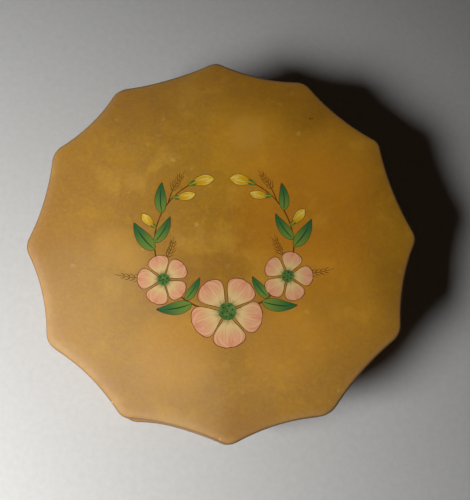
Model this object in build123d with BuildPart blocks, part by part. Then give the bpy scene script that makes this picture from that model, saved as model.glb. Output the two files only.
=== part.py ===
"""Fluted stone trinket box with a loose lift-off lid. Millimetres, +Z up.

The box stands on Z = 0 with its axis on Z. The bowl is one block: twelve flutes are ground
into its outside and a round hollow is turned inside. The lid is a slab with the same star
outline. A round lip under it drops into the mouth of the hollow, so the lid fits on in any turn
and lifts straight off.
"""
import os

from build123d import *

os.makedirs("parts", exist_ok=True)

# Star outline, shared by the lid and the bowl
point_count = 12
lid_radius = 58.3         # axis to a point of the lid, before the point is rounded
rim_inset = 0.1           # how far the bowl's rim stands back under the lid's edge
rim_band = 3.5            # upright band under the rim, before the wall tapers in
foot_radius = 49.5        # axis to a point of the bowl's foot, before the point is rounded
flute_dip = 1.7           # depth of each hollow side below a straight line between two points
point_round = 6.2         # plan radius on the points

# Heights
pad_thickness = 1.0
bowl_height = 24.0
floor_thickness = 6.0
lid_thickness = 9.0

# Turned hollow of the bowl
mouth_radius = 46.0
mouth_depth = 7.0         # straight wall that takes the lid's lip
floor_radius = 39.0       # where the sloping wall would meet the floor
hollow_cove = 7.0
mouth_chamfer = 0.6

# Lip and shallow dish under the lid
lip_clearance = 0.5       # radial gap between the lip and the mouth
lip_height = 3.5
lip_width = 6.5
dish_depth = 2.5          # how far the dish goes up into the slab
lip_chamfer = 0.6

# Softened edges
lid_top_round = 2.6
lid_bottom_chamfer = 0.6
rim_chamfer = 1.0
foot_chamfer = 1.2

# Felt under the foot
pad_radius = 42.0

# Levels worked out from the sizes above
bowl_bottom = pad_thickness
rim_level = bowl_bottom + bowl_height
band_bottom = rim_level - rim_band
floor_level = bowl_bottom + floor_thickness
lip_bottom = rim_level - lip_height
dish_roof = rim_level + dish_depth
lip_radius = mouth_radius - lip_clearance
dish_radius = lip_radius - lip_width


def star(radius):
    """Give the fluted star with its points on this radius, the first of them on +X."""
    step = 360 / point_count
    corners = [Vector(radius, 0).rotate(Axis.Z, step * n) for n in range(point_count)]
    with BuildSketch() as outline:
        with BuildLine():
            for start, end in zip(corners, corners[1:] + corners[:1]):
                SagittaArc(start, end, flute_dip)
        make_face()
        fillet(outline.vertices(), point_round)
    return outline.sketch


# Bowl: a tapering fluted block with a turned hollow
with BuildPart() as base:
    with BuildSketch(Plane.XY.offset(bowl_bottom)):
        add(star(foot_radius))
    with BuildSketch(Plane.XY.offset(band_bottom)) as shoulder:
        add(star(lid_radius - rim_inset))
    loft(ruled=True)
    extrude(shoulder.sketch, amount=rim_band)
    chamfer(base.faces().sort_by(Axis.Z)[-1].edges(), rim_chamfer)
    chamfer(base.faces().sort_by(Axis.Z)[0].edges(), foot_chamfer)
    with BuildSketch(Plane.XZ):
        with BuildLine():
            Polyline(
                (0, floor_level),
                (floor_radius, floor_level),
                (mouth_radius, rim_level - mouth_depth),
                (mouth_radius, rim_level),
                (0, rim_level),
                close=True,
            )
        make_face()
    revolve(axis=Axis.Z, mode=Mode.SUBTRACT)
    floor_edge = base.edges().filter_by_position(Axis.Z, floor_level, floor_level)
    fillet(floor_edge, hollow_cove)
    rim_face = base.faces().sort_by(Axis.Z)[-1]
    chamfer(rim_face.inner_wires()[0].edges(), mouth_chamfer)
base.part.label = "base"

# Lid: a star slab, rounded over, with a round lip and a shallow dish below
with BuildPart() as lid:
    with BuildSketch(Plane.XY.offset(rim_level)):
        add(star(lid_radius))
    extrude(amount=lid_thickness)
    fillet(lid.faces().sort_by(Axis.Z)[-1].edges(), lid_top_round)
    chamfer(lid.faces().sort_by(Axis.Z)[0].edges(), lid_bottom_chamfer)
    with BuildSketch(Plane.XY.offset(lip_bottom)):
        Circle(lip_radius)
    extrude(amount=lip_height)
    with BuildSketch(Plane.XY.offset(lip_bottom)):
        Circle(dish_radius)
    extrude(amount=dish_roof - lip_bottom, mode=Mode.SUBTRACT)
    chamfer(lid.edges().filter_by_position(Axis.Z, lip_bottom, lip_bottom), lip_chamfer)
lid.part.label = "lid"

# Felt pad glued under the foot
with BuildPart() as felt_pad:
    with BuildSketch():
        Circle(pad_radius)
    extrude(amount=pad_thickness)
felt_pad.part.label = "felt_pad"

export_step(base.part, "parts/base.step")
export_step(lid.part, "parts/lid.step")
export_step(felt_pad.part, "parts/felt_pad.step")
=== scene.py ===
# %% [markdown]
# Alabaster trinket box
#
# This lesson dresses a finished model of a small stone box. The bowl and the lid are each cut
# from one block of honey alabaster, their rims are ground into a star with twelve hollow sides,
# and a wreath of flowers is painted on the lid. The construction model already has every piece at
# its real size, so here each piece only gets its true surface: softened edges, the slight
# unevenness of hand grinding, stone that is cloudy inside, and paint that lies on top of it.
# Everything is in metres, with +Z up and the table at Z = 0.

# %% The fixed frame
import math
import random

import bmesh
import bpy
from mathutils import Matrix, Vector, noise


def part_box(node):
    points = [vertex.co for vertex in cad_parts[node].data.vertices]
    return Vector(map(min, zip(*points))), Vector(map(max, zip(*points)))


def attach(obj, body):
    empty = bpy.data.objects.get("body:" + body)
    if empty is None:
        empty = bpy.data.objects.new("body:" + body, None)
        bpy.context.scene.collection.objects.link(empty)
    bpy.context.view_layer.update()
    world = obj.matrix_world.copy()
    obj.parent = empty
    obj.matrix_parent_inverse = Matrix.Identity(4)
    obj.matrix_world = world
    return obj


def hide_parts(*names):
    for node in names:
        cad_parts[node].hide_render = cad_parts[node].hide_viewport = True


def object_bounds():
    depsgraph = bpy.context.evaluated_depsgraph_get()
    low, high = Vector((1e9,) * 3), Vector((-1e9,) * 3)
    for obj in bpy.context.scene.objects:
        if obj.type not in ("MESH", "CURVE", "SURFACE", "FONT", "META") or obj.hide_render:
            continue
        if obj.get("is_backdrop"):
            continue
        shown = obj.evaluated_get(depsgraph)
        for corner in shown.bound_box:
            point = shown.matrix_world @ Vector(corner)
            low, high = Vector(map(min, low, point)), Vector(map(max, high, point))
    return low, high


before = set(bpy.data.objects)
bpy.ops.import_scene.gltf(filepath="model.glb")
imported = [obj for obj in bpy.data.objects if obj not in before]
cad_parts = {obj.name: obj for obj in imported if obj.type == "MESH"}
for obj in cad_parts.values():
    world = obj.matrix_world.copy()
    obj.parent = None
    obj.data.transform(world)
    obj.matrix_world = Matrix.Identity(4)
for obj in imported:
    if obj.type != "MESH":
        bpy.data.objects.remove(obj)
cad_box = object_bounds()
MM = 0.001

# %% [markdown]
# The heights come from the frame, so the pieces made here meet exactly where the construction
# pieces meet. The star's own sizes are the ones that the stone was drawn with.

# %% Sizes of the box
pad_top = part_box("felt_pad")[1].z
pad_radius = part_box("felt_pad")[1].x
rim_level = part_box("base")[1].z
lip_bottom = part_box("lid")[0].z
lid_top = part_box("lid")[1].z
lid_radius = 58.3 * MM        # axis to a point of the lid, before the point is rounded
rim_radius = 58.2 * MM        # the bowl's rim stands back a little under the lid
foot_radius = 49.5 * MM
band_height = 3.5 * MM        # upright band under the rim
floor_level = pad_top + 6.0 * MM
floor_radius = 39.0 * MM
mouth_radius = 46.0 * MM
mouth_depth = 7.0 * MM
lip_radius = 45.5 * MM
dish_radius = 39.0 * MM
dish_roof = rim_level + 2.5 * MM
paint_room = 0.1 * MM         # the stone stops this far under the frame's lid, for the paint
stone_top = lid_top - paint_room
print(f"rim at {rim_level / MM:.1f} mm, lid top at {lid_top / MM:.1f} mm")

# %% [markdown]
# The star. Twelve points stand on a circle. Between two points the side is one shallow arc that
# dips towards the axis, as a grinding wheel leaves it, and a small arc rounds each point. One
# function gives the distance from the axis to the outline for any direction. The wheel was led by
# eye, so no two points are quite alike. Three short lists hold what makes each point its own: how
# far it has wandered round the box, how far it reaches, and how tightly it is rounded. On the
# bowl, one point stands two degrees further on, and the hollow beside it is shallower, so a sliver
# of the bowl's rim peeps out there from under the lid.

# %% One star outline
POINTS = 12
step_angle = 2 * math.pi / POINTS
flute_dip = 1.7 * MM
point_turns = (0.3, 2.3, 1.9, 0.4, 2.0, -0.6, -0.6, -1.7, -1.9, -0.9, -1.1, 0.6)    # degrees
point_reaches = (0.1, 0.1, 0.2, 0.2, 0.0, 0.0, -0.3, 0.1, -0.4, -0.1, 0.0, 0.0)     # mm
point_rounds = (4.1, 3.4, 5.6, 4.2, 6.2, 6.8, 5.7, 6.0, 4.2, 4.0, 7.0, 6.0)         # mm


def star_radius(direction, radius, rounding):
    """Distance from the axis to an even star's outline, for points on this radius."""
    half = step_angle / 2
    off_point = abs((direction + half) % step_angle - half)
    chord = 2 * radius * math.sin(half)
    wheel = (chord * chord / 4 + flute_dip * flute_dip) / (2 * flute_dip)
    wheel_from_axis = radius * math.cos(half) - flute_dip + wheel
    wheel_x, wheel_y = wheel_from_axis * math.cos(half), wheel_from_axis * math.sin(half)
    round_x = wheel_x - math.sqrt((wheel + rounding) ** 2 - wheel_y ** 2)
    meet_x = round_x + (wheel_x - round_x) * rounding / (wheel + rounding)
    meet_y = wheel_y * rounding / (wheel + rounding)
    if off_point < math.atan2(meet_y, meet_x):
        along = round_x * math.cos(off_point)
        return along + math.sqrt(along * along - round_x * round_x + rounding * rounding)
    along = wheel_x * math.cos(off_point) + wheel_y * math.sin(off_point)
    return along - math.sqrt(along * along - wheel_from_axis * wheel_from_axis + wheel * wheel)


def outline_radius(direction, radius, turns):
    """Distance from the axis to the hand-made outline, whose points have these turns in degrees."""
    places = [number * step_angle + math.radians(turn) for number, turn in enumerate(turns)]
    places.append(places[0] + 2 * math.pi)
    direction = (direction - places[0]) % (2 * math.pi) + places[0]
    before = max(number for number in range(POINTS) if places[number] <= direction)
    share = (direction - places[before]) / (places[before + 1] - places[before])
    reach, rounding = (values[before] * (1 - share) + values[(before + 1) % POINTS] * share
                       for values in (point_reaches, point_rounds))
    return star_radius((before + share) * step_angle, radius + reach * MM, rounding * MM)


def swell(direction, middle, reach):
    """A smooth hump that is 1 in the middle direction and 0 past the reach on both sides."""
    off = abs((direction - math.radians(middle) + math.pi) % (2 * math.pi) - math.pi)
    return math.cos(off / math.radians(reach) * math.pi / 2) ** 2 if off < math.radians(reach) else 0.0


def lid_outline(direction, radius):
    return outline_radius(direction, radius, point_turns)


ODD_POINT, ODD_TURN = 8, 2.0                    # the bowl's odd point, and its extra turn in degrees
PROUD, PROUD_AT, PROUD_REACH = 0.45 * MM, -99, 15    # its shallow hollow: height, place, reach in degrees
bowl_turns = [turn + ODD_TURN if number == ODD_POINT else turn for number, turn in enumerate(point_turns)]


def bowl_outline(direction, radius):
    return outline_radius(direction, radius, bowl_turns) + PROUD * swell(direction, PROUD_AT, PROUD_REACH)


print("radii of the lid's points:", [round(lid_outline(math.radians(30 * n + turn), lid_radius) / MM, 1)
                                    for n, turn in enumerate(point_turns)])

# %% [markdown]
# The stone is worked in the order of the real craft. First it is turned: a profile from the foot
# to the top is spun about the axis. Then it is fluted: every point of the mesh near the outside is
# pushed in to the star. Modelling in the same order keeps the hollow and the lip truly round,
# while the outside is a star, and the rounded edges follow the star by themselves. A long spin is
# slow, because each step searches the whole mesh, so one twelfth is spun and then repeated.

# %% Turning and fluting
SPIN_STEPS = 384
ROUNDING_STEPS = 6
WELD = 1e-6                   # metres; closer vertices become one
FLUTE_START = 9.0 * MM        # this far inside the points the piece is still round
FLUTE_END = 3.2 * MM          # from this far inside the points it is fully a star


def finished_piece(bm, name, smooth=True):
    """Turn a bmesh into an object at the origin."""
    mesh = bpy.data.meshes.new(name)
    bm.to_mesh(mesh)
    bm.free()
    if smooth:
        mesh.shade_smooth()
    piece = bpy.data.objects.new(name, mesh)
    bpy.context.scene.collection.objects.link(piece)
    print(name, "has", len(mesh.vertices), "vertices and", len(mesh.polygons), "faces")
    return piece


def turned(corners, spacing):
    """Spin a profile of (radius, height, rounding) corners, from the axis back to the axis."""
    bm = bmesh.new()
    row = [bm.verts.new((radius, 0, height)) for radius, height, _ in corners]
    for start, end in zip(row, row[1:]):
        bm.edges.new((start, end))
    for vert, (_, _, rounding) in zip(row, corners):
        if rounding:
            bmesh.ops.bevel(bm, geom=[vert], offset=rounding, offset_type="OFFSET",
                            segments=ROUNDING_STEPS, profile=0.5, affect="VERTICES", material=-1)
    for edge in bm.edges[:]:
        cuts = int(edge.calc_length() / spacing)
        if cuts:
            bmesh.ops.subdivide_edges(bm, edges=[edge], cuts=cuts)
    bmesh.ops.spin(bm, geom=bm.verts[:] + bm.edges[:], cent=(0, 0, 0), axis=(0, 0, 1),
                   angle=step_angle, steps=SPIN_STEPS // POINTS)
    bmesh.ops.spin(bm, geom=bm.verts[:] + bm.edges[:] + bm.faces[:], cent=(0, 0, 0), axis=(0, 0, 1),
                   angle=2 * math.pi - step_angle, steps=POINTS - 1, use_duplicate=True)
    bmesh.ops.remove_doubles(bm, verts=bm.verts[:], dist=WELD)
    bmesh.ops.recalc_face_normals(bm, faces=bm.faces[:])
    return bm


def smooth_step(low, high, value):
    share = min(max((value - low) / (high - low), 0), 1)
    return share * share * (3 - 2 * share)


def stretch(vert, scale):
    """Move a vertex away from the axis or towards it, at its own height."""
    vert.co.x *= scale
    vert.co.y *= scale


def flute(bm, outer_at, outline):
    """Push the outside of a turned piece in to the star. outer_at gives its radius at a height."""
    moved = 0
    for vert in bm.verts:
        radius, outer = math.hypot(vert.co.x, vert.co.y), outer_at(vert.co.z)
        share = smooth_step(outer - FLUTE_START, outer - FLUTE_END, radius)
        if share:
            star = outline(math.atan2(vert.co.y, vert.co.x), outer)
            stretch(vert, 1 + share * (star - outer) / radius)
            moved += 1
    print("fluting moved", moved, "of", len(bm.verts), "vertices")


print("each turned piece has", SPIN_STEPS, "steps round the axis")

# %% [markdown]
# Hand polishing never leaves a perfect plane. A slow wave, a few hundredths of a millimetre high,
# runs over the top of the lid. It can't be seen as a shape, but it makes the reflections wander.
# The paint is laid on the same wave, so it always touches the stone.

# %% The polished top
wave_size = 0.045 * MM
wave_length = 17 * MM
wave_place = 4.7              # which part of the noise the wave is cut from
wobble_from = 5 * MM          # the wobble starts this far outside the mouth


def polish_wave(x, y):
    """Height of the hand-polished wave at a place on the lid, never above zero."""
    return wave_size * (noise.noise(Vector((x / wave_length, y / wave_length, wave_place))) - 1) / 2


def wobble(bm, size, length, seed):
    """Move the outside of a piece in by up to this much, as uneven grinding does."""
    for vert in bm.verts:
        radius = math.hypot(vert.co.x, vert.co.y)
        if radius > mouth_radius + wobble_from:
            place = vert.co / length + Vector((0, 0, seed))
            stretch(vert, 1 + size * (noise.noise(place) - 1) / 2 / radius)


print(f"at the lid's middle the wave lies {-polish_wave(0, 0) / MM:.3f} mm under the flat")

# %% [markdown]
# The lid is one slab. Its top falls away gently over the last few millimetres and then turns
# over the edge, as stone does when it is polished on a soft pad. Under it, a round lip with a
# shallow dish inside it drops into the mouth of the bowl.

# %% The lid
fall_reach = 5 * MM           # width of the band in which the top falls away
fall_depth = 0.19 * MM        # how far it has fallen at the very edge
lid_bm = turned([
    (0, dish_roof, 0),
    (dish_radius, dish_roof, 1.2 * MM),
    (dish_radius, lip_bottom, 0.7 * MM),
    (lip_radius, lip_bottom, 0.7 * MM),
    (lip_radius, rim_level, 0),
    (lid_radius, rim_level, 0.7 * MM),
    (lid_radius, stone_top, 1.1 * MM),
    (0, stone_top, 0),
], spacing=1.3 * MM)
flute(lid_bm, lambda height: lid_radius, lid_outline)
wobble(lid_bm, 0.25 * MM, 14 * MM, seed=1.3)
for vert in lid_bm.verts:
    if vert.co.z > rim_level + 1 * MM:
        edge = lid_outline(math.atan2(vert.co.y, vert.co.x), lid_radius)
        inside = edge - math.hypot(vert.co.x, vert.co.y)
        fall = max(1 - inside / fall_reach, 0)
        vert.co.z += polish_wave(vert.co.x, vert.co.y) - fall_depth * fall * fall
lid = finished_piece(lid_bm, "alabaster_lid")
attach(lid, "lid")
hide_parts("lid")
print(f"the lid's slab is {(stone_top - rim_level) / MM:.1f} mm thick")

# %% [markdown]
# The bowl is a second block. Its wall leans in from a narrow upright band at the rim to the foot,
# and the hollow is turned with a coved corner, so that small things can be picked out of it.

# %% The bowl
band_bottom = rim_level - band_height


def bowl_radius(height):
    """Radius of the bowl's points at a height: leaning wall, then the upright band."""
    share = min(max((height - pad_top) / (band_bottom - pad_top), 0), 1)
    return foot_radius + (rim_radius - foot_radius) * share


bowl_bm = turned([
    (0, pad_top, 0),
    (foot_radius, pad_top, 1.3 * MM),
    (rim_radius, band_bottom, 3.0 * MM),
    (rim_radius, rim_level, 0.7 * MM),
    (mouth_radius, rim_level, 0.6 * MM),
    (mouth_radius, rim_level - mouth_depth, 2.0 * MM),
    (floor_radius, floor_level, 7.0 * MM),
    (0, floor_level, 0),
], spacing=1.6 * MM)
flute(bowl_bm, bowl_radius, bowl_outline)
wobble(bowl_bm, 0.3 * MM, 16 * MM, seed=8.1)
bowl = finished_piece(bowl_bm, "alabaster_bowl")
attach(bowl, "base")
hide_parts("base")
print(f"the hollow is {(rim_level - floor_level) / MM:.1f} mm deep")

# %% [markdown]
# A disc of thin felt is glued under the foot. Cut felt has a soft edge, so the disc's rim is
# rounded and slightly ragged.

# %% The felt pad
ragged_band = 0.5 * MM
ragged_depth = 0.12 * MM
ragged_length = 0.8 * MM
felt_bm = turned([
    (0, 0, 0),
    (pad_radius, 0, 0.3 * MM),
    (pad_radius, pad_top, 0.3 * MM),
    (0, pad_top, 0),
], spacing=3 * MM)
for vert in felt_bm.verts:
    radius = math.hypot(vert.co.x, vert.co.y)
    if radius > pad_radius - ragged_band:
        stretch(vert, 1 + ragged_depth * (noise.noise(vert.co / ragged_length) - 1) / radius)
felt = finished_piece(felt_bm, "felt_disc")
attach(felt, "base")
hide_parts("felt_pad")
print(f"the felt disc is {2 * pad_radius / MM:.0f} mm across")

# %% [markdown]
# Materials are node trees. Small helpers keep them readable: they add a node and wire its inputs,
# do sums, stretch a pattern's range, mix two colours and start a material. Patterns read Object
# coordinates, which on pieces that sit at the origin are real metres, so a noise scale of 100
# means features about a centimetre across.

# %% Node helpers
def add_node(tree, kind, settings=None, **inputs):
    """Add a node. Settings are its own properties; inputs are values, sockets or names."""
    node = tree.nodes.new(kind)
    for name, value in (settings or {}).items():
        setattr(node, name, value)
    for name, value in inputs.items():
        key = int(name[1:]) if name[0] == "_" and name[1:].isdigit() else name.replace("_", " ")
        if isinstance(value, bpy.types.NodeSocket):
            tree.links.new(value, node.inputs[key])
        else:
            node.inputs[key].default_value = value
    return node


def maths(tree, operation, first, second=0.0):
    return add_node(tree, "ShaderNodeMath", {"operation": operation}, _0=first, _1=second).outputs[0]


def product(tree, first, second):
    return maths(tree, "MULTIPLY", first, second)


def spread(tree, value, low, high, to_low=0.0, to_high=1.0):
    """Stretch part of a pattern's range over another range, with soft ends."""
    return add_node(tree, "ShaderNodeMapRange", {"interpolation_type": "SMOOTHSTEP"},
                    _0=value, _1=low, _2=high, _3=to_low, _4=to_high).outputs[0]


def mixed(tree, share, first, second):
    """Mix two colours. The node's sockets 0, 6 and 7 are its factor and its two colours."""
    return add_node(tree, "ShaderNodeMix", {"data_type": "RGBA"},
                    _0=share, _6=first, _7=second).outputs[2]


def clouds(tree, place, scale, detail=4.0, roughness=0.55, warp=0.0):
    return add_node(tree, "ShaderNodeTexNoise", Vector=place, Scale=scale, Detail=detail,
                    Roughness=roughness, Distortion=warp).outputs[0]


def paint_pot(red, green, blue):
    """A colour given as it looks on a screen, 0 to 255, turned into linear light."""
    linear = [((part / 255 + 0.055) / 1.055) ** 2.4 if part > 10 else part / 255 / 12.92
              for part in (red, green, blue)]
    return (*linear, 1.0)


def new_material(name):
    material = bpy.data.materials.new(name)
    material.use_nodes = True
    tree = material.node_tree
    return material, tree, tree.nodes["Principled BSDF"]


print("honey in linear light:", [round(part, 3) for part in paint_pot(197, 144, 28)])

# %% [markdown]
# Honey alabaster. The stone is translucent gypsum: light goes in a few millimetres and comes out
# warm, so the shader has some subsurface scattering. Inside it there are soft pale clouds, brown
# veils between them, a fine mottle and grain, and pale flecks. Polish reaches the flat top best;
# the rounded edge and the sides are rougher. The colour also carries painted shade: the top is
# painted darker and browner towards the rim, the rounded edge a duller brown, the sides a darker
# brown, and a dark band is painted just under the rounded edge. Masks from the piece's own
# coordinates do this. A node group makes the stone once, for both pieces, and each piece gives its
# own place in the block and the height where its sides begin.

# %% The stone as a node group
def new_group(name, inputs, outputs):
    """Start a node group with named sockets; gives the tree, its inputs and its output node."""
    group = bpy.data.node_groups.new(name, "ShaderNodeTree")
    for way, sockets in (("INPUT", inputs), ("OUTPUT", outputs)):
        for title, kind in sockets.items():
            group.interface.new_socket(name=title, in_out=way, socket_type="NodeSocket" + kind)
    return group, group.nodes.new("NodeGroupInput").outputs, group.nodes.new("NodeGroupOutput")


def alabaster_group():
    group, given, leave = new_group(
        "alabaster_body",
        {"Object": "Vector", "Block": "Vector", "Cloudiness": "Float", "Side Top": "Float"},
        {"Color": "Color", "Roughness": "Float", "Height": "Float"})
    place = add_node(group, "ShaderNodeVectorMath", {"operation": "ADD"},
                     _0=given["Object"], _1=given["Block"]).outputs[0]

    # patterns, from the broadest to the finest
    tone = clouds(group, place, 24, 2.0, 0.5)
    patches = clouds(group, place, 70, 3.0, 0.55, 0.4)
    veils = clouds(group, place, 95, 4.0, 0.6, 1.0)
    mottle = clouds(group, place, 240, 4.0, 0.6, 0.3)
    grain = clouds(group, place, 950, 4.0, 0.75)
    off_veil = maths(group, "ABSOLUTE", maths(group, "SUBTRACT", veils, 0.5))
    pale = product(group, spread(group, patches, 0.55, 0.70), given["Cloudiness"])
    veil = product(group, spread(group, off_veil, 0.06, 0.0),
                   spread(group, patches, 0.60, 0.40, 0.0, 0.17))

    # flecks: the middles of cells, with edges made ragged by a small push, each with its own strength
    fuzz = add_node(group, "ShaderNodeTexNoise", Vector=place, Scale=900.0).outputs["Color"]
    push = add_node(group, "ShaderNodeVectorMath", {"operation": "SCALE"},
                    _0=fuzz, Scale=1.6 * MM).outputs[0]
    ragged = add_node(group, "ShaderNodeVectorMath", {"operation": "ADD"}, _0=place, _1=push).outputs[0]
    cells = add_node(group, "ShaderNodeTexVoronoi", Vector=ragged, Scale=150.0)
    lot = add_node(group, "ShaderNodeSeparateColor", Color=cells.outputs["Color"]).outputs[0]
    middle = spread(group, cells.outputs["Distance"], 0.15, 0.04)
    fleck = product(group, middle, product(group, lot, 0.60))

    # where on the piece: near the rim, over the rounded edge, on the side, just under the edge
    axes = add_node(group, "ShaderNodeSeparateXYZ", Vector=given["Object"]).outputs
    flat = add_node(group, "ShaderNodeCombineXYZ", X=axes[0], Y=axes[1]).outputs[0]
    from_axis = add_node(group, "ShaderNodeVectorMath", {"operation": "LENGTH"},
                         _0=flat).outputs["Value"]
    outside = spread(group, from_axis, 47 * MM, 49 * MM)
    below = maths(group, "SUBTRACT", given["Side Top"], axes[2])
    near_rim = spread(group, from_axis, 40 * MM, 57 * MM, 0.0, 0.25)
    on_round = product(group, outside, spread(group, below, -0.3 * MM, -0.1 * MM))
    side_shade = product(group, outside, spread(group, below, 0.0, 0.3 * MM))
    edge_shade = product(group, side_shade, spread(group, below, 4 * MM, 1.5 * MM))

    color = paint_pot(176, 122, 18)
    for share, over in (
        (spread(group, tone, 0.30, 0.70), paint_pot(197, 144, 28)),
        (pale, paint_pot(216, 165, 50)),
        (veil, paint_pot(149, 92, 16)),
        (spread(group, mottle, 0.38, 0.64, 0.0, 0.21), paint_pot(158, 107, 18)),
        (spread(group, mottle, 0.44, 0.28, 0.0, 0.21), paint_pot(213, 163, 54)),
        (spread(group, grain, 0.42, 0.64, 0.0, 0.13), paint_pot(130, 80, 18)),
        (spread(group, grain, 0.50, 0.32, 0.0, 0.11), paint_pot(222, 180, 70)),
        (fleck, paint_pot(226, 186, 104)),
        # painted shade: the top darker and browner towards the rim, a duller brown over the rounded edge,
        # darker browner sides, and a dark band just under the rounded edge
        (near_rim, paint_pot(160, 105, 22)),
        (product(group, on_round, 0.35), paint_pot(150, 112, 52)),
        (product(group, side_shade, 0.30), paint_pot(104, 58, 14)),
        (product(group, edge_shade, 0.65), paint_pot(84, 50, 20)),
    ):
        color = mixed(group, share, color, over)
    rough = maths(group, "ADD", spread(group, mottle, 0.35, 0.70, 0.47, 0.53),
                  product(group, on_round, 0.36))
    height = maths(group, "ADD", product(group, mottle, 0.4), product(group, grain, 0.8))
    for title, value in (("Color", color), ("Roughness", rough), ("Height", height)):
        group.links.new(value, leave.inputs[title])
    print(group.name, "has", len(group.nodes), "nodes")
    return group


alabaster_body = alabaster_group()

# %% [markdown]
# Some marks belong to one place. On the lid, broad areas are painted lighter as painted light and
# darker as painted shade, and one redder area is partly the stone's own hue and partly painted
# light. A paler, greyer haze where it faces the light is a painted sheen, and the other side has a
# better polish. It also has pale clouds and dark specks near its top, and small pale spots on its
# edge that are partly chips and partly painted glints. Each is a soft spot round a place on the
# piece. A small group gives a spot's share from the distance to its centre, and one function adds
# a list of spots.

# %% Marks at their own places
def spot_group():
    group, given, leave = new_group(
        "soft_spot", {"Object": "Vector", "Centre": "Vector", "Size": "Float", "Strength": "Float"},
        {"Share": "Float"})
    away = add_node(group, "ShaderNodeVectorMath", {"operation": "DISTANCE"},
                    _0=given["Object"], _1=given["Centre"]).outputs["Value"]
    in_sizes = maths(group, "DIVIDE", away, given["Size"])
    share = product(group, spread(group, in_sizes, 1.0, 0.4), given["Strength"])
    group.links.new(share, leave.inputs["Share"])
    return group


soft_spot = spot_group()


def spot_share(tree, place, spot, strength):
    """Share of one soft spot, given as (x, y, z, size) in millimetres."""
    x, y, z, size = (part * MM for part in spot)
    return add_node(tree, "ShaderNodeGroup", {"node_tree": soft_spot}, Object=place,
                    Centre=(x, y, z), Size=size, Strength=strength).outputs["Share"]


def marks(tree, color, place, spots, mark_color, strength):
    """Soft spots painted over a colour."""
    for spot in spots:
        color = mixed(tree, spot_share(tree, place, spot, strength), color, mark_color)
    return color


# each spot is (x, y, z, size) in millimetres
lid_clouds = [(8.3, 34.1, 34, 7.5), (-31.8, -0.3, 34, 8), (-27, -4, 34, 6), (-18.9, -6.6, 34, 4.5),
              (-25.7, 19.4, 34, 4)]
# broad areas painted lighter: painted light
lid_painted_light = [(30, -18, 34, 22), (16, -30, 34, 16), (10, 31, 34, 18), (35, 25, 34, 17), (-15, -31, 34, 16)]
# a paler, greyer haze where the lid faces the light: painted sheen
lid_painted_sheen = [(-40, -22, 34, 32), (-16, -44, 34, 20)]
# a redder area, partly the stone's own hue and partly painted light
lid_amber_and_light = [(25, 8, 34, 30)]
# broad areas painted darker: painted shade
lid_painted_shade = [(8, 51, 34, 17), (-12, 47, 34, 13), (-27, 42, 34, 13), (26, 43, 34, 12), (51, -14, 34, 12),
            (5, -51, 34, 11)]
lid_polish = [(32, 16, 34, 62)]
lid_specks = [(28.0, 38.8, 33.9, 0.45), (28.7, 38.9, 33.9, 0.4), (-30.2, 15.1, 33.9, 0.35)]
# small pale spots on the lid's edge, partly chips and partly painted glints
lid_chips_and_glints = [(-3.5, -55.8, 33.3, 0.6), (-1.6, -56.7, 33, 0.6), (27.6, -49.1, 33.3, 0.5),
             (45.8, -28.8, 33.4, 0.5), (-46.5, 28.5, 33, 0.5), (-33.0, -44.6, 33.2, 0.4),
             (2.0, 56.5, 32.8, 0.5), (50.6, 12.0, 33, 0.4)]
bowl_chips = [(57.0, 1.0, 24.2, 1.0), (-28.0, 49.5, 24.0, 1.2), (29.0, -49.8, 24.2, 0.9),
              (-49.5, -28.8, 23.8, 1.0)]

# each kind of mark is its spots, its colour and its strength
# pale spots: chips on the bowl; on the lid, partly chips and partly painted glints
pale_chip_and_glint = paint_pot(236, 208, 150)
lid_marks = (
    # painted light, painted sheen, a redder area that is partly painted light, painted shade, and pale
    # spots that are partly painted glints
    (lid_painted_light, paint_pot(242, 172, 44), 0.28),
    (lid_painted_sheen, paint_pot(192, 160, 112), 0.22),
    (lid_amber_and_light, paint_pot(226, 138, 18), 0.34),
    (lid_painted_shade, paint_pot(134, 84, 14), 0.24),
    (lid_clouds, paint_pot(216, 162, 62), 0.42),
    (lid_specks, paint_pot(84, 48, 14), 0.6),
    (lid_chips_and_glints, pale_chip_and_glint, 0.6),
)
bowl_marks = ((bowl_chips, pale_chip_and_glint, 0.7),)
print("marks on the lid:", sum(len(spots) for spots, _, _ in lid_marks))

# %% [markdown]
# Each piece of stone is the group, its own marks, a faint bump and the shader's fixed numbers.

# %% Alabaster for the lid and for the bowl
CLOUDINESS = 0.55
POLISH = 0.12                 # how much smoother the stone is at its best polished place


def alabaster(name, block, side_top, spots, polished=()):
    """Stone for one piece; side_top is the height in metres under which its sides are painted darker, as
    painted shade.
    """
    material, tree, shader = new_material(name)
    place = add_node(tree, "ShaderNodeTexCoord").outputs["Object"]
    body = add_node(tree, "ShaderNodeGroup", {"node_tree": alabaster_body}, Object=place, Block=block,
                    Cloudiness=CLOUDINESS, Side_Top=side_top)
    color = body.outputs["Color"]
    for places, mark_color, strength in spots:
        color = marks(tree, color, place, places, mark_color, strength)
    rough = body.outputs["Roughness"]
    for spot in polished:
        rough = maths(tree, "SUBTRACT", rough, spot_share(tree, place, spot, POLISH))
    bump = add_node(tree, "ShaderNodeBump", Height=body.outputs["Height"], Strength=0.3,
                    Distance=0.1 * MM)
    tree.links.new(color, shader.inputs["Base Color"])
    tree.links.new(rough, shader.inputs["Roughness"])
    tree.links.new(bump.outputs[0], shader.inputs["Normal"])
    shader.inputs["Subsurface Weight"].default_value = 0.12
    shader.inputs["Subsurface Radius"].default_value = (1.0, 0.5, 0.15)
    shader.inputs["Subsurface Scale"].default_value = 2 * MM
    shader.inputs["IOR"].default_value = 1.52
    shader.inputs["Specular IOR Level"].default_value = 1.25
    print(name, "uses", len(tree.nodes), "nodes")
    return material


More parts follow.
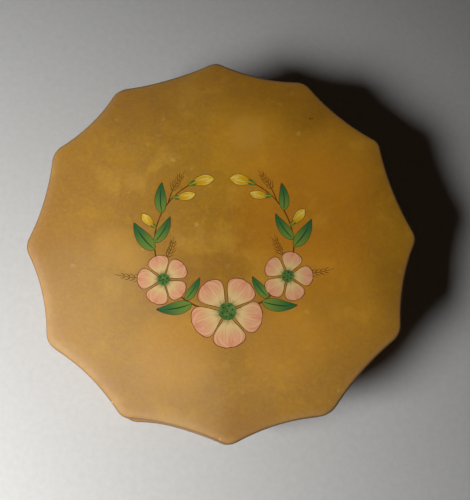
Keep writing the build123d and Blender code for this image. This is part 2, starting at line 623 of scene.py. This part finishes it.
lid.data.materials.append(
    alabaster("lid_alabaster", (0.3, 0.1, 0.2), stone_top - 0.34 * MM, lid_marks, lid_polish))
bowl.data.materials.append(
    alabaster("bowl_alabaster", (0.7, 0.4, 0.1), rim_level + 0.03 * MM, bowl_marks))

# %% [markdown]
# Pressed felt is matt. Its fibres are a very fine noise, which gives both the colour's flecks and
# the relief, and a little sheen lightens it at a low angle, as loose fibres do.

# %% Felt
material, tree, shader = new_material("green_felt")
coordinates = add_node(tree, "ShaderNodeTexCoord").outputs["Object"]
fibres = clouds(tree, coordinates, 2600, 3.0, 0.7, 2.0)
patches = clouds(tree, coordinates, 120, 2.0, 0.5)
color = mixed(tree, fibres, paint_pot(28, 52, 32), paint_pot(72, 104, 70))
color = mixed(tree, spread(tree, patches, 0.4, 0.7, 0.0, 0.4), color, paint_pot(34, 60, 38))
tree.links.new(color, shader.inputs["Base Color"])
bump = add_node(tree, "ShaderNodeBump", Height=fibres, Strength=0.6, Distance=0.15 * MM)
tree.links.new(bump.outputs[0], shader.inputs["Normal"])
shader.inputs["Roughness"].default_value = 0.95
shader.inputs["Sheen Weight"].default_value = 0.4
felt.data.materials.append(material)
print(material.name, "uses", len(tree.nodes), "nodes")

# %% [markdown]
# The painting is a generic wreath: five-petalled blossoms, yellow buds, green leaves and brown
# tendrils along two curved stems that almost meet at the top. Each brush mark is a thin skin of
# real thickness. It starts as a flat grid whose U runs along the stroke and whose V runs across
# it. One function bends the grid along a curve and swells it by a width formula, so a petal, a
# leaf and a tendril are the same kind of thing with other numbers. The grid's own UVs then tell
# the material where the root, the tip and the sides of the stroke are.

# %% Brush marks
LINE_LEVEL, STEM_LEVEL, FILL_LEVEL, TOUCH_LEVEL = 0.020 * MM, 0.032 * MM, 0.048 * MM, 0.066 * MM
DOT_LEVEL = TOUCH_LEVEL + 0.016 * MM
SKIN = 0.045 * MM
NEARLY_STRAIGHT = 1e-4        # radians; a bend below this is laid as a straight line
hand = random.Random(12)


def chord_of(arc, turn):
    """Straight distance between the ends of an arc that turns by this much."""
    return arc if abs(turn) < NEARLY_STRAIGHT else arc * math.sin(turn / 2) / (turn / 2)


class Layer:
    """All brush marks of one paint, collected in one mesh."""

    def __init__(self, name, level):
        self.name, self.level = name, level
        self.bm = bmesh.new()
        self.uv = self.bm.loops.layers.uv.new("UVMap")

    def mark(self, start, heading, length, width, shape, bend=0.0, margin=0.0, along=14, across=6):
        """Lay one stroke. shape gives the half width for a share of the length; bend is in radians."""
        made = bmesh.ops.create_grid(self.bm, x_segments=along, y_segments=across, size=0.5)["verts"]
        for vert in made:
            share, side = vert.co.x + 0.5, vert.co.y * 2
            for loop in vert.link_loops:
                loop[self.uv].uv = (share, side / 2 + 0.5)
            turn = bend * share
            chord = chord_of(share * (length + 2 * margin) - margin, turn)
            direction = heading + turn / 2
            off = side * (width / 2 * shape(share) + margin)
            x = start[0] + chord * math.cos(direction) - off * math.sin(heading + turn)
            y = start[1] + chord * math.sin(direction) + off * math.cos(heading + turn)
            body = self.level * (1 - 0.15 * side * side)
            vert.co = (x, y, stone_top + polish_wave(x, y) + body)

    def finish(self):
        bmesh.ops.recalc_face_normals(self.bm, faces=self.bm.faces[:])
        if sum(face.normal.z for face in self.bm.faces) < 0:
            bmesh.ops.reverse_faces(self.bm, faces=self.bm.faces[:])
        piece = finished_piece(self.bm, self.name, smooth=False)
        skin = piece.modifiers.new("skin", "SOLIDIFY")
        skin.thickness, skin.offset = SKIN, -1
        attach(piece, "lid")
        return piece


outlines = Layer("painted_outlines", LINE_LEVEL)
petals = Layer("painted_petals", FILL_LEVEL)
leaves = Layer("painted_leaves", FILL_LEVEL)
buds = Layer("painted_buds", FILL_LEVEL)
tendrils = Layer("painted_tendrils", STEM_LEVEL)
hearts = Layer("painted_hearts", TOUCH_LEVEL)
touches = Layer("painted_dots", DOT_LEVEL)
print(f"the paint lies {LINE_LEVEL / MM:.3f} to {DOT_LEVEL / MM:.3f} mm over the stone")

# %% [markdown]
# Width formulas. A petal is narrow at its root and broad near its blunt tip. A leaf is broadest a
# good third of the way along and ends in a point. A bud is a plump drop. A tendril is a line that
# thins out, as a loaded brush does when it is lifted. A spot is nearly round.

# %% Shapes of petal, leaf, bud, tendril and spot
def petal_shape(share):
    return 0.16 + 0.84 * math.sin(math.pi * min(share, 0.985) ** 1.9) ** 0.62 if share < 1 else 0.30


def leaf_shape(share):
    return max(math.sin(math.pi * share ** 0.72), 0) ** 0.9 * 0.98 + 0.02


def bud_shape(share):
    return 0.10 + 0.90 * math.sin(math.pi * share ** 1.5) ** 0.75 if 0 < share < 1 else 0.12


def tendril_shape(share):
    return 1.0 - 0.7 * share


def spot_shape(share):
    return max(math.sin(math.pi * share), 0.02) ** 0.5


def outlined(layer, shape, start, heading, length, width, bend=0.0, line=0.17 * MM, **grid):
    """A filled mark with a thin dark line showing round it."""
    layer.mark(start, heading, length, width, shape, bend, **grid)
    outlines.mark(start, heading, length, width, shape, bend, margin=line, **grid)


def polar(distance, direction, centre=(0.0, 0.0)):
    return (centre[0] + distance * math.cos(direction), centre[1] + distance * math.sin(direction))


def jitter(value, share=0.06):
    return value * (1 + hand.uniform(-share, share))


print("a petal's half width at its middle is", round(petal_shape(0.5), 2), "of its broadest")

# %% [markdown]
# One function for each motif, from a centre, a heading and a size.

# %% Motifs
def blossom(centre, size, first=0.0):
    """Five broad petals round a dotted heart."""
    for number in range(5):
        heading = first + number * 2 * math.pi / 5 + hand.uniform(-0.05, 0.05)
        outlined(petals, petal_shape, polar(0.16 * size, heading, centre), heading, jitter(0.84 * size),
                 jitter(0.86 * size), hand.uniform(-0.12, 0.12), along=18, across=12)
    radius = 0.26 * size
    hearts.mark(polar(-radius, 0.4, centre), 0.4, 2 * radius, 2 * radius, spot_shape,
                along=14, across=10)
    for number in range(7):
        spot = polar(0.155 * size if number else 0, number * math.pi / 3 + 0.3, centre)
        touches.mark(polar(-0.26 * MM, 0, spot), 0, 0.52 * MM, 0.52 * MM, spot_shape, along=6, across=6)


def leaf(root, heading, length, bend):
    outlined(leaves, leaf_shape, root, heading, jitter(length), jitter(0.36 * length), bend, 0.12 * MM,
             along=20, across=10)


def bud(root, heading, length, bend):
    outlined(buds, bud_shape, root, heading, jitter(length), jitter(0.40 * length), bend, 0.12 * MM,
             along=18, across=8)
    for side in (-1, 1):
        leaves.mark(root, heading + side * 0.42, 0.34 * length, 0.13 * length, leaf_shape, -side * 0.5,
                    along=8, across=4)


def frond(root, heading, length, bend, strokes=5):
    """A hair-thin tendril with short side strokes."""
    tendrils.mark(root, heading, length, 0.34 * MM, tendril_shape, bend, along=26, across=2)
    for number in range(strokes):
        share = 0.34 + 0.52 * number / strokes
        turn = bend * share
        stem = polar(chord_of(share * length, turn), heading + turn / 2, root)
        for side in (-1, 1):
            lean = side * (0.75 - 0.2 * share)
            away = heading + turn + lean
            tendrils.mark(polar(0.5 * MM, away, stem), away, jitter(2.3 * MM * (1.1 - 0.6 * share), 0.2),
                          0.26 * MM, tendril_shape, -side * 0.4, along=8, across=2)


print("motifs: blossom, leaf, bud, frond")

# %% [markdown]
# The wreath is two mirrored halves of one ring. Each half has three lengths of stem, a blossom,
# five leaves, three buds and three fronds, at directions counted in degrees from the bottom. Small
# random changes keep the halves from matching stroke for stroke. A larger blossom joins them.

# %% The wreath
ring = 20.5 * MM
stem_arc = math.radians(50)
for side in (-1, 1):
    def round_ring(degrees, side=side):
        """Direction on this half of the wreath, counted from the bottom."""
        return math.radians(-90 + side * degrees)

    def tangent(degrees, lean=0.0, side=side):
        return round_ring(degrees) + side * (math.pi / 2 - math.radians(lean))

    for part in range(3):
        begin = 8 + part * 48
        tendrils.mark(polar(ring, round_ring(begin)), tangent(begin), ring * stem_arc,
                      (0.52 - 0.09 * part) * MM, lambda share: 1 - 0.17 * share,
                      side * stem_arc, along=24, across=2)
    blossom(polar(ring + 0.4 * MM, round_ring(60)), 7.2 * MM, round_ring(20))
    for motif, strokes in (
        # each stroke is its place on the ring and its lean in degrees, its length in mm and its bend
        (leaf, ((30, 52, 10.4, 0.5), (36, -100, 7.4, -0.4), (86, 46, 10.6, 0.5), (92, -44, 9.0, -0.5),
                (118, 38, 8.8, 0.4))),
        (bud, ((151, -4, 8.2, 0.35), (104, 62, 6.2, 0.2), (134, -46, 6.6, -0.3))),
        (frond, ((63, 74, 14.0, 0.5), (128, 24, 11.0, 0.5), (72, -72, 10.0, -0.9))),
    ):
        for degrees, lean, length, bend in strokes:
            motif(polar(ring, round_ring(degrees)), tangent(degrees, lean), length * MM, side * bend)
blossom(polar(ring - 0.2 * MM, math.radians(-90)), 10.2 * MM, math.radians(-90))
painted = {layer.name: layer.finish()
           for layer in (outlines, petals, leaves, buds, tendrils, hearts, touches)}
print("paint layers:", len(painted))

# %% [markdown]
# Enamel colours. Petals run from cream at the root to salmon at the tip, with fine streaks that
# the brush hairs leave. Leaves are dark at the tip and olive at the root, with a dark midrib. All
# of them read the strokes' UVs.

# %% Paints
def enamel(name):
    material, tree, shader = new_material(name)
    stroke = add_node(tree, "ShaderNodeTexCoord").outputs["UV"]
    uv = add_node(tree, "ShaderNodeSeparateXYZ", Vector=stroke)
    shader.inputs["Roughness"].default_value = 0.38
    shader.inputs["Coat Weight"].default_value = 0.1
    return material, tree, shader, uv.outputs[0], uv.outputs[1]


def hairs_group():
    group, given, leave = new_group(
        "brush_hairs", {"Along": "Float", "Across": "Float", "Count": "Float", "Stretch": "Float"},
        {"Streaks": "Float"})
    hairs = add_node(group, "ShaderNodeCombineXYZ", X=product(group, given["Along"], given["Stretch"]),
                     Y=product(group, given["Across"], given["Count"])).outputs[0]
    group.links.new(clouds(group, hairs, 1.0, 2.0, 0.6), leave.inputs["Streaks"])
    return group


brush_hairs = hairs_group()


def brush_streaks(tree, along, across, count, stretch=1.5):
    """Streaks that run along the stroke."""
    return add_node(tree, "ShaderNodeGroup", {"node_tree": brush_hairs}, Along=along, Across=across,
                    Count=count, Stretch=stretch).outputs["Streaks"]


def petal_paint():
    material, tree, shader, along, across = enamel("petal_enamel")
    color = mixed(tree, spread(tree, along, 0.15, 0.85),
                  paint_pot(232, 205, 138), paint_pot(228, 150, 116))
    streaks = spread(tree, brush_streaks(tree, along, across, 13), 0.42, 0.60)
    color = mixed(tree, product(tree, streaks, 0.50), color, paint_pot(240, 208, 150))
    dark = spread(tree, brush_streaks(tree, along, across, 21, 1.0), 0.56, 0.70)
    color = mixed(tree, product(tree, dark, 0.35), color, paint_pot(196, 104, 78))
    root = product(tree, spread(tree, along, 0.34, 0.05),
                 spread(tree, brush_streaks(tree, along, across, 17), 0.40, 0.56))
    color = mixed(tree, root, color, paint_pot(138, 116, 58))
    tree.links.new(color, shader.inputs["Base Color"])
    return material


def leaf_paint():
    material, tree, shader, along, across = enamel("leaf_enamel")
    color = mixed(tree, spread(tree, along, 0.05, 0.95), paint_pot(120, 146, 52), paint_pot(30, 96, 56))
    streaks = spread(tree, brush_streaks(tree, along, across, 9), 0.45, 0.62)
    color = mixed(tree, product(tree, streaks, 0.40), color, paint_pot(84, 136, 72))
    off_rib = maths(tree, "ABSOLUTE", maths(tree, "SUBTRACT", across, 0.5))
    rib = product(tree, spread(tree, off_rib, 0.075, 0.03), spread(tree, along, 0.95, 0.6))
    color = mixed(tree, product(tree, rib, 0.85), color, paint_pot(18, 62, 34))
    tree.links.new(color, shader.inputs["Base Color"])
    return material


def bud_paint():
    material, tree, shader, along, across = enamel("bud_enamel")
    color = mixed(tree, spread(tree, along, 0.0, 0.9), paint_pot(196, 148, 8), paint_pot(232, 186, 22))
    streaks = spread(tree, brush_streaks(tree, along, across, 9), 0.50, 0.62)
    tip = product(tree, streaks, spread(tree, along, 0.15, 0.7))
    color = mixed(tree, tip, color, paint_pot(248, 230, 152))
    tree.links.new(color, shader.inputs["Base Color"])
    return material


def flat_paint(name, light, dark, scale=500.0):
    material, tree, shader = enamel(name)[:3]
    place = add_node(tree, "ShaderNodeTexCoord").outputs["Object"]
    tree.links.new(mixed(tree, spread(tree, clouds(tree, place, scale), 0.35, 0.65), light, dark),
                   shader.inputs["Base Color"])
    return material


for name, paint in (
    ("painted_outlines", flat_paint("outline_enamel", paint_pot(122, 66, 32), paint_pot(96, 46, 24))),
    ("painted_petals", petal_paint()),
    ("painted_leaves", leaf_paint()),
    ("painted_buds", bud_paint()),
    ("painted_tendrils", flat_paint("tendril_enamel", paint_pot(120, 74, 22), paint_pot(88, 50, 14))),
    ("painted_hearts", flat_paint("heart_enamel", paint_pot(104, 138, 66), paint_pot(70, 106, 50), 700)),
    ("painted_dots", flat_paint("dot_enamel", paint_pot(44, 84, 40), paint_pot(34, 66, 32))),
):
    painted[name].data.materials.append(paint)
    print(name, "wears", paint.name)

# %% [markdown]
# The room. The box stands on a plain pale floor, a little uneven like thick paper.

# %% Floor
FLOOR_HALF = 1.5              # metres from the middle of the floor to its edge
floor_bm = bmesh.new()
bmesh.ops.create_grid(floor_bm, x_segments=8, y_segments=8, size=FLOOR_HALF)
floor = finished_piece(floor_bm, "floor")
floor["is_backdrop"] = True
material, tree, shader = new_material("pale_floor")
coordinates = add_node(tree, "ShaderNodeTexCoord").outputs["Object"]
mottled = clouds(tree, coordinates, 500, 4.0, 0.7)
paper = mixed(tree, mottled, paint_pot(180, 181, 181), paint_pot(200, 201, 200))
tree.links.new(paper, shader.inputs["Base Color"])
shader.inputs["Roughness"].default_value = 0.6
floor.data.materials.append(material)
print(floor.name, "wears", material.name)

# %% [markdown]
# The camera looks down on the lid from about fifteen degrees off the vertical. Its place, its
# distance and its roll come from fitting the twelve points of the lid to the photograph. It aims a
# little to one side of the axis, because the box doesn't stand in the middle of the picture.

# %% Camera
camera_aim = Vector((2.98, -2.24, 34.0)) * MM
camera_from_front = math.radians(-20.15)
camera_rise = math.radians(75.51)
camera_distance = 234.5 * MM
camera_roll = math.radians(18.16)
camera_lens, camera_film = 57.6, 36.0    # millimetres
away = Vector((math.cos(camera_rise) * math.sin(camera_from_front),
               -math.cos(camera_rise) * math.cos(camera_from_front), math.sin(camera_rise)))
right = Vector((math.cos(camera_from_front), math.sin(camera_from_front), 0))
up = away.cross(right)
turn = Matrix.Rotation(camera_roll, 3, away)
right, up = turn @ right, turn @ up
camera = bpy.data.objects.new("camera", bpy.data.cameras.new("camera"))
bpy.context.scene.collection.objects.link(camera)
camera.matrix_world = (Matrix.Translation(camera_aim + away * camera_distance)
                       @ Matrix((right, up, away)).transposed().to_4x4())
camera.data.lens, camera.data.sensor_width = camera_lens, camera_film
camera.data.clip_start = 0.01
bpy.context.scene.camera = camera
print("the camera stands at", [round(part / MM) for part in camera.matrix_world.translation], "mm")

# %% [markdown]
# One soft light stands on the left and a little to the front, as a window would, so the shadow
# falls to the upper right. It is aimed at the floor to the left of the box: the floor is brightest
# there and falls off to the right, as beside a real window. A weak warm light from the other side
# and a faint warm sky keep the shadow from turning black.

# %% Lights
WINDOW_PLACE, WINDOW_TARGET = (-0.322, -0.177, 0.345), (-0.199, -0.121, 0)
KICKER_PLACE, KICKER_TARGET = (0.85, 0.62, 0.24), (0, 0, 0.02)
WARM_SKY, SKY_STRENGTH = (1.0, 0.66, 0.42, 1.0), 0.010


def aimed(name, lamp, place, target):
    light = bpy.data.objects.new(name, lamp)
    bpy.context.scene.collection.objects.link(light)
    direction = Vector(target) - Vector(place)
    facing = direction.to_track_quat("-Z", "Y").to_matrix().to_4x4()
    light.matrix_world = Matrix.Translation(place) @ facing
    return light


window = bpy.data.lights.new("window", "SPOT")
window.energy, window.color = 17.0, (1.0, 0.99, 0.975)
window.spot_size, window.spot_blend = math.radians(88), 1.0
window.shadow_soft_size = 0.100
aimed("window", window, WINDOW_PLACE, WINDOW_TARGET)
kicker = bpy.data.lights.new("kicker", "AREA")
kicker.shape, kicker.size = "DISK", 0.5
kicker.energy, kicker.color = 0.15, (1.0, 0.75, 0.55)
aimed("kicker", kicker, KICKER_PLACE, KICKER_TARGET)
world = bpy.data.worlds.new("studio")
world.use_nodes = True
sky = world.node_tree.nodes["Background"]
sky.inputs["Color"].default_value, sky.inputs["Strength"].default_value = WARM_SKY, SKY_STRENGTH
bpy.context.scene.world = world
bpy.context.scene.view_settings.view_transform = "Standard"

# %% [markdown]
# The true surface may not stand far outside the construction model, so both boxes are measured.

# %% Measure and finish
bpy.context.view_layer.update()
for name, box in (("construction", cad_box), ("visual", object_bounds())):
    print(name, "box in mm:", [[round(part / MM, 2) for part in corner] for corner in box])
